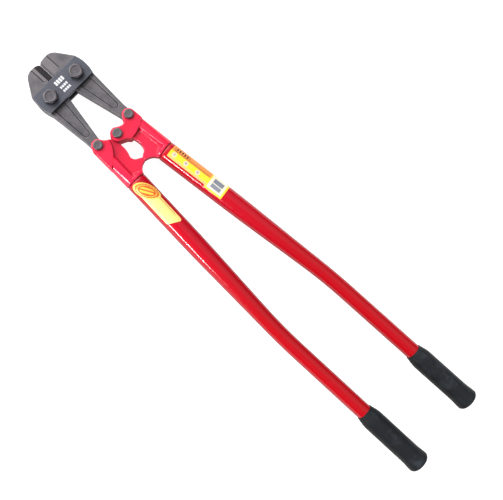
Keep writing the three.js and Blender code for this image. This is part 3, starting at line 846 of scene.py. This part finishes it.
def left_label():
    """Pale yellow with an orange line, and a ringed oval tilted across the head."""
    g = Graph("label_left", specular=0.25)
    mapped = g.print_map()
    along = g.part(mapped, 0)
    across = g.part(mapped, 1)
    line = g.maths("MULTIPLY", g.between(across, -8.2, -7.3, 0.3), g.between(along, 44, 84, 0.5))
    colour = g.blend(g.noise(60, 3, 0.6), srgb(214, 190, 106), srgb(218, 200, 126))
    colour = g.blend(line, colour, srgb(176, 84, 40))
    ahead = g.maths("SUBTRACT", along, OVAL_CENTRE)
    beside = g.maths("SUBTRACT", across, OVAL_ACROSS)
    long_part = g.maths("SUBTRACT", g.maths("MULTIPLY", ahead, math.cos(OVAL_TILT) / OVAL_LENGTH),
                        g.maths("MULTIPLY", beside, math.sin(OVAL_TILT) / OVAL_LENGTH))
    short_part = g.maths("ADD", g.maths("MULTIPLY", ahead, math.sin(OVAL_TILT) / OVAL_WIDTH),
                         g.maths("MULTIPLY", beside, math.cos(OVAL_TILT) / OVAL_WIDTH))
    far = g.maths("SQRT", g.maths("ADD", g.maths("POWER", long_part, 2), g.maths("POWER", short_part, 2)))
    turn = g.maths("ARCTAN2", short_part, long_part)
    scallops = g.maths("MULTIPLY", g.maths("SINE", g.maths("MULTIPLY", turn, 22)), 0.03)
    edge = g.maths("ADD", far, scallops)
    colour = g.blend(g.span(far, 0.98, 1.02, 1.0, 0.0), colour, srgb(218, 190, 84))
    colour = g.blend(g.span(edge, 0.83, 0.88, 1.0, 0.0), colour, srgb(188, 66, 30))
    colour = g.blend(g.span(far, 0.74, 0.78, 1.0, 0.0), colour, srgb(214, 150, 62))
    colour = g.blend(g.span(far, 0.60, 0.64, 1.0, 0.0), colour, srgb(190, 78, 34))
    bars = g.between(g.maths("FRACT", g.maths("MULTIPLY", short_part, 2.2)), 0.15, 0.75, 0.08)
    inner = g.maths("MULTIPLY", bars, g.span(far, 0.5, 0.54, 1.0, 0.0))
    colour = g.blend(inner, colour, srgb(216, 172, 60))
    return sticker_finish(g, colour)


# ---------------------------------------------------------------- assembly


def dress(piece, material):
    piece.data.materials.clear()
    piece.data.materials.append(material)
    return piece


def forged_pieces():
    steel = jaw_steel()
    front = plate_steel("plate_steel_marked", True)
    plain = plate_steel("plate_steel", False)
    red = red_casting()
    rows = (
        ("right_jaw_forging", "jaw_right", "right_jaw", "jaw_steel", steel, 0.45, 2),
        ("left_jaw_forging", "jaw_left", "left_jaw", "jaw_steel", steel, 0.45, 2),
        ("front_side_plate", "side_plate_front", "side_plates", "plate_steel", front, 0.4, 2),
        ("back_side_plate", "side_plate_back", "side_plates", "plate_steel", plain, 0.4, 2),
        ("right_yoke_casting", "yoke_right", "right_handle", "red_casting", red, 0.62, 12),
        ("left_yoke_casting", "yoke_left", "left_handle", "red_casting", red, 0.62, 12),
    )
    for name, node, body, slot, material, voxel, passes in rows:
        piece = dress(softened(name, node, voxel, passes), material)
        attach(piece, body)


def fasteners():
    bolt_finish = fastener_steel("bolt_steel", 0.9, srgb(88, 84, 87), srgb(72, 70, 74))
    pin_finish = fastener_steel("pin_steel", 0.6, srgb(95, 92, 94), srgb(83, 81, 84))
    nut_top = -PLATE_OUTSIDE - GAP - LOCK_WASHER_THICKNESS - GAP
    for side in ("right", "left"):
        bolt = dress(hex_bolt(f"{side}_jaw_bolt"), bolt_finish)
        set_at(bolt, f"jaw_bolt_{side}", "side_plates")
        washer = dress(spring_washer(f"{side}_spring_washer"), bolt_finish)
        set_at(washer, f"jaw_lock_washer_{side}", "side_plates")
        nut = hex_nut(f"{side}_jaw_nut", JAW_NUT_FLATS, JAW_BOLT_RADIUS + GAP,
                      nut_top - JAW_NUT_THICKNESS, nut_top)
        set_at(dress(nut, bolt_finish), f"jaw_nut_{side}", "side_plates")
    yoke_pins = (("right_tail", "tail_pin_right", "right_handle"),
                 ("left_tail", "tail_pin_left", "left_handle"),
                 ("centre", "centre_pin", "right_handle"))
    for name, node, body in yoke_pins:
        set_at(dress(headed_pin(f"{name}_pin"), pin_finish), node, body)
        top = -YOKE_HALF - GAP
        nut = hex_nut(f"{name}_pin_nut", PIN_NUT_FLATS, PIN_RADIUS + GAP, top - PIN_NUT_THICKNESS, top)
        nut_node = node.replace("pin", "pin_nut")
        set_at(dress(nut, bolt_finish), nut_node, body)


def handles():
    enamel = red_tube()
    rubber = black_rubber()
    for side_name, side in (("right", 1), ("left", -1)):
        for make, kind, slot, material in ((tube, "tube", "red_tube", enamel),
                                           (grip, "grip", "black_rubber", rubber)):
            piece = dress(make(f"{side_name}_{kind}", side), material)
            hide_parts(f"handle_{kind}_{side_name}")
            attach(piece, f"{side_name}_handle")


def labels():
    right = label("right_label", 1, RIGHT_LABEL, right_edges)
    left = label("left_label", -1, LEFT_LABEL, left_edges)
    for piece, node, body, material in ((right, "label_right", "right_handle", right_label()),
                                        (left, "label_left", "left_handle", left_label())):
        dress(piece, material)
        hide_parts(node)
        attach(piece, body)


# ---------------------------------------------------------------- stage, light and camera

# Brightness of the surroundings: the soft light past the jaws, the ceiling towards +Y and
# towards -Y, the glow past the grips, the horizon, and the backdrop that a camera sees.
SOFT_LIGHT = 6.2
CEILING_RIGHT = 0.75
CEILING_LEFT = 0.3
END_LIGHT = 0.45
HORIZON = 0.12
BACKDROP = 1.0

# The floor, in metres: half its side, how far it lies under the tool, and its own glow.
FLOOR_HALF = 6
FLOOR_DROP = 0.0005
FLOOR_GLOW = 0.92

# The strip light, in metres: its size, how far off it stands, and the middle of its length.
# Then its power in watts, and its angle above the horizon.
STRIP_LENGTH = 0.52
STRIP_HEIGHT = 0.03
STRIP_AWAY = 1.5
STRIP_MIDDLE = -0.34
STRIP_POWER = 27
STRIP_ELEVATION = math.radians(17)


def floor():
    """A plain pale floor just under the tool, giving off light as a light table does."""
    corners = [(FLOOR_HALF * x, FLOOR_HALF * y, -FLOOR_DROP)
               for x, y in ((-1, -1), (1, -1), (1, 1), (-1, 1))]
    piece = new_piece("floor", corners, [[0, 1, 2, 3]])
    g = Graph("floor", specular=0.0)
    g.shader.inputs["Emission Color"].default_value = (1, 1, 1, 1)
    g.shader.inputs["Emission Strength"].default_value = FLOOR_GLOW
    colour = g.blend(g.noise(3, 2), (0.3, 0.3, 0.3, 1), (0.32, 0.32, 0.32, 1))
    dress(piece, g.finish(colour, 0.9, g.bump(g.noise(30), 0.02)))


def lights():
    """Soft light past the jaws, a dimmer ceiling and glow, and a slim strip on the -Y side."""
    world = bpy.data.worlds.new("studio")
    bpy.context.scene.world = world
    world.use_nodes = True
    tree = world.node_tree

    def add(kind, inputs, **settings):
        node = tree.nodes.new(kind)
        for key, value in settings.items():
            setattr(node, key, value)
        for key, value in inputs.items():
            if isinstance(value, bpy.types.NodeSocket):
                tree.links.new(value, node.inputs[key])
            else:
                node.inputs[key].default_value = value
        return node

    def ramp(value, low, high, to_low, to_high):
        inputs = {"Value": value, "From Min": low, "From Max": high, "To Min": to_low, "To Max": to_high}
        return add("ShaderNodeMapRange", inputs, interpolation_type="SMOOTHSTEP").outputs[0]

    def sums(operation, first, second):
        return add("ShaderNodeMath", {0: first, 1: second}, operation=operation).outputs[0]

    direction = add("ShaderNodeTexCoord", {}).outputs["Generated"]
    parts = add("ShaderNodeSeparateXYZ", {0: direction}).outputs
    soft = sums("MULTIPLY", ramp(parts["X"], -0.66, -0.3, SOFT_LIGHT, 0.0),
                ramp(parts["Z"], 0.1, 0.35, 0.0, 1.0))
    ceiling = sums("MULTIPLY", ramp(parts["Y"], -0.14, 0.1, CEILING_LEFT, CEILING_RIGHT),
                   ramp(parts["Z"], 0.3, 0.75, 0.0, 1.0))
    ends = sums("MULTIPLY", ramp(parts["X"], 0.35, 0.8, 0.0, END_LIGHT),
                ramp(parts["Z"], 0.05, 0.3, 0.0, 1.0))
    light = sums("ADD", sums("ADD", soft, ceiling), sums("ADD", ends, HORIZON))
    seen = add("ShaderNodeLightPath", {}).outputs["Is Camera Ray"]
    shown = add("ShaderNodeMix", {0: seen, 2: light, 3: BACKDROP}).outputs[0]
    tree.links.new(shown, tree.nodes["Background"].inputs["Strength"])
    tree.nodes["Background"].inputs["Color"].default_value = (1, 1, 1, 1)

    strip = bpy.data.lights.new("strip", "AREA")
    strip.shape = "RECTANGLE"
    strip.size = STRIP_LENGTH
    strip.size_y = STRIP_HEIGHT
    strip.energy = STRIP_POWER
    holder = bpy.data.objects.new("strip", strip)
    bpy.context.scene.collection.objects.link(holder)
    holder.visible_camera = False
    towards = Vector((0, math.cos(STRIP_ELEVATION), -math.sin(STRIP_ELEVATION)))
    holder.location = Vector((STRIP_MIDDLE, 0, 0)) - towards * STRIP_AWAY
    holder.rotation_euler = towards.to_track_quat("-Z", "Y").to_euler()


def camera():
    """Above the tool, tipped a little towards -Y, and turned so that it lies corner to corner."""
    azimuth, elevation, roll = math.radians(-17.36), math.radians(79.69), math.radians(59.29)
    distance = 1.158
    target = Vector((0.0036, 0.0087, MIDDLE_HEIGHT))
    back = Vector((
        math.sin(azimuth) * math.cos(elevation),
        -math.cos(azimuth) * math.cos(elevation),
        math.sin(elevation),
    ))
    level = Vector((math.cos(azimuth), math.sin(azimuth), 0))
    up = back.cross(level)
    right = math.cos(roll) * level + math.sin(roll) * up
    top = -math.sin(roll) * level + math.cos(roll) * up
    data = bpy.data.cameras.new("camera")
    data.lens = 50.1
    holder = bpy.data.objects.new("camera", data)
    bpy.context.scene.collection.objects.link(holder)
    turn = Matrix((right, top, back)).transposed().to_4x4()
    holder.matrix_world = Matrix.Translation(target + back * distance) @ turn
    bpy.context.scene.camera = holder


forged_pieces()
fasteners()
handles()
labels()
floor()
lights()
camera()
bpy.context.scene.view_settings.view_transform = "Standard"
